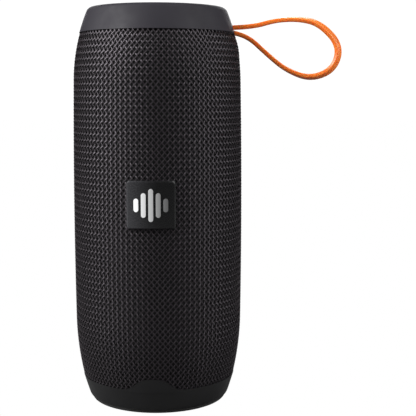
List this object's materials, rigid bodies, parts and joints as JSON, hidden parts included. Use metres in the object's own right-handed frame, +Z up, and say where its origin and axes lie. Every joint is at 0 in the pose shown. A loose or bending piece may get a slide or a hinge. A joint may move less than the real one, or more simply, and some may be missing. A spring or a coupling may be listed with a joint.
{
  "type": "portable speaker",
  "caption": "Upright barrel-shaped portable wireless speaker in a woven sleeve, with end caps, passive radiators, rear keys, a covered port bay and a wrist strap.",
  "frame": {"origin": "centre of the foot ring's underside, on the barrel's axis", "axes": "+Z up the barrel's axis, -Y towards the badge, +Y towards the keys and port cover, +X towards the strap's exit"},
  "size_m": [0.1193, 0.0782, 0.175],
  "materials": {
    "cap_grey": "satin grey moulded plastic",
    "base_black": "satin black moulded plastic",
    "foot_rubber": "matt black rubber",
    "sleeve_fabric": "open diagonal weave of charcoal yarn over black",
    "strap_orange": "satin orange elastomer band",
    "badge_black": "satin black plate with a bevelled edge",
    "emblem_silver": "brushed silver",
    "spine_black": "fine textured black plastic",
    "key_rubber": "matt dark grey rubber",
    "cover_rubber": "matt black rubber",
    "light_clear": "frosted clear light guide",
    "steel": "plated steel",
    "housing_abs": "black ABS housing",
    "board_green": "solder-masked circuit board",
    "chips": "moulded electronic parts",
    "socket_metal": "tinned steel receptacle",
    "cell_wrap": "shrink-wrapped cell",
    "wire_jacket": "soft wire insulation",
    "surround_rubber": "smooth black rubber",
    "diaphragm": "satin black diaphragm",
    "cone_paper": "black pulp cone",
    "coil_copper": "enamelled copper on an aluminium former",
    "spider_cloth": "resin-treated cloth",
    "basket_steel": "black painted pressed steel",
    "ferrite": "bare ferrite",
    "foam": "closed-cell foam"
  },
  "bodies": {
    "housing": {"strap": "strap_orange", "strap_anchor": "housing_abs", "strap_pin": "steel", "top_cap": "cap_grey", "base_ring": "base_black", "foot_ring": "foot_rubber", "fabric_sleeve": "sleeve_fabric", "badge_plate": "badge_black", "badge_emblem": "emblem_silver", "spine_panel": "spine_black", "light_pipes": "light_clear", "port_cover_pin": "steel", "port_seal": "foam", "usb_port": "socket_metal", "audio_jack": "housing_abs", "key_board": "board_green", "key_switches": "steel", "indicator_leds": "chips", "microphone": "socket_metal", "front_grille": "housing_abs", "rear_shell": "housing_abs", "front_baffle": "housing_abs", "end_frame_screws": "steel", "main_board": "board_green", "main_board_parts": "chips", "board_screws": "steel", "battery_cell": "cell_wrap", "battery_cradle": "housing_abs", "internal_wires": "wire_jacket", "driver_baskets": "basket_steel", "driver_gaskets": "foam", "driver_top_plates": "steel", "driver_magnets": "ferrite", "driver_yokes": "steel", "driver_screws": "steel", "end_frame_top": "housing_abs", "radiator_top_surround": "surround_rubber", "radiator_top_clamp": "housing_abs", "end_frame_bottom": "housing_abs", "radiator_bottom_surround": "surround_rubber", "radiator_bottom_clamp": "housing_abs", "driver_lower_surround": "surround_rubber", "driver_lower_spider": "spider_cloth", "driver_upper_surround": "surround_rubber", "driver_upper_spider": "spider_cloth"},
    "button_power": {"button_power": "key_rubber"},
    "button_pairing": {"button_pairing": "key_rubber"},
    "button_volume_up": {"button_volume_up": "key_rubber"},
    "button_play": {"button_play": "key_rubber"},
    "button_volume_down": {"button_volume_down": "key_rubber"},
    "port_cover": {"port_cover": "cover_rubber"},
    "driver_lower_cone": {"driver_lower_cone": "cone_paper", "driver_lower_voice_coil": "coil_copper"},
    "driver_upper_cone": {"driver_upper_cone": "cone_paper", "driver_upper_voice_coil": "coil_copper"},
    "radiator_top": {"radiator_top_diaphragm": "diaphragm", "radiator_top_weight": "steel"},
    "radiator_bottom": {"radiator_bottom_diaphragm": "diaphragm", "radiator_bottom_weight": "steel"}
  },
  "joints": [
    {"name": "button_power_press", "type": "slide", "parent": "housing", "child": "button_power", "axis": [0, -1, 0], "range_m": [0, 0.00045], "stiffness_N_per_m": 3000},
    {"name": "button_pairing_press", "type": "slide", "parent": "housing", "child": "button_pairing", "axis": [0, -1, 0], "range_m": [0, 0.00045], "stiffness_N_per_m": 3000},
    {"name": "button_volume_up_press", "type": "slide", "parent": "housing", "child": "button_volume_up", "axis": [0, -1, 0], "range_m": [0, 0.00045], "stiffness_N_per_m": 3000},
    {"name": "button_play_press", "type": "slide", "parent": "housing", "child": "button_play", "axis": [0, -1, 0], "range_m": [0, 0.00045], "stiffness_N_per_m": 3000},
    {"name": "button_volume_down_press", "type": "slide", "parent": "housing", "child": "button_volume_down", "axis": [0, -1, 0], "range_m": [0, 0.00045], "stiffness_N_per_m": 3000},
    {"name": "port_cover_hinge", "type": "hinge", "parent": "housing", "child": "port_cover", "pos_m": [0, 0.0366, 0.0422], "axis": [-1, 0, 0], "range_deg": [0, 100]},
    {"name": "driver_lower_excursion", "type": "slide", "parent": "housing", "child": "driver_lower_cone", "axis": [0, -1, 0], "range_m": [-0.0012, 0.0012], "stiffness_N_per_m": 1500, "deforming": ["driver_lower_surround", "driver_lower_spider"]},
    {"name": "driver_upper_excursion", "type": "slide", "parent": "housing", "child": "driver_upper_cone", "axis": [0, -1, 0], "range_m": [-0.0012, 0.0012], "stiffness_N_per_m": 1500, "deforming": ["driver_upper_surround", "driver_upper_spider"]},
    {"name": "radiator_top_excursion", "type": "slide", "parent": "housing", "child": "radiator_top", "axis": [0, 0, 1], "range_m": [-0.0025, 0.0025], "stiffness_N_per_m": 1600, "deforming": ["radiator_top_surround"]},
    {"name": "radiator_bottom_excursion", "type": "slide", "parent": "housing", "child": "radiator_bottom", "axis": [0, 0, -1], "range_m": [-0.0025, 0.0025], "stiffness_N_per_m": 1600, "deforming": ["radiator_bottom_surround"]}
  ]
}
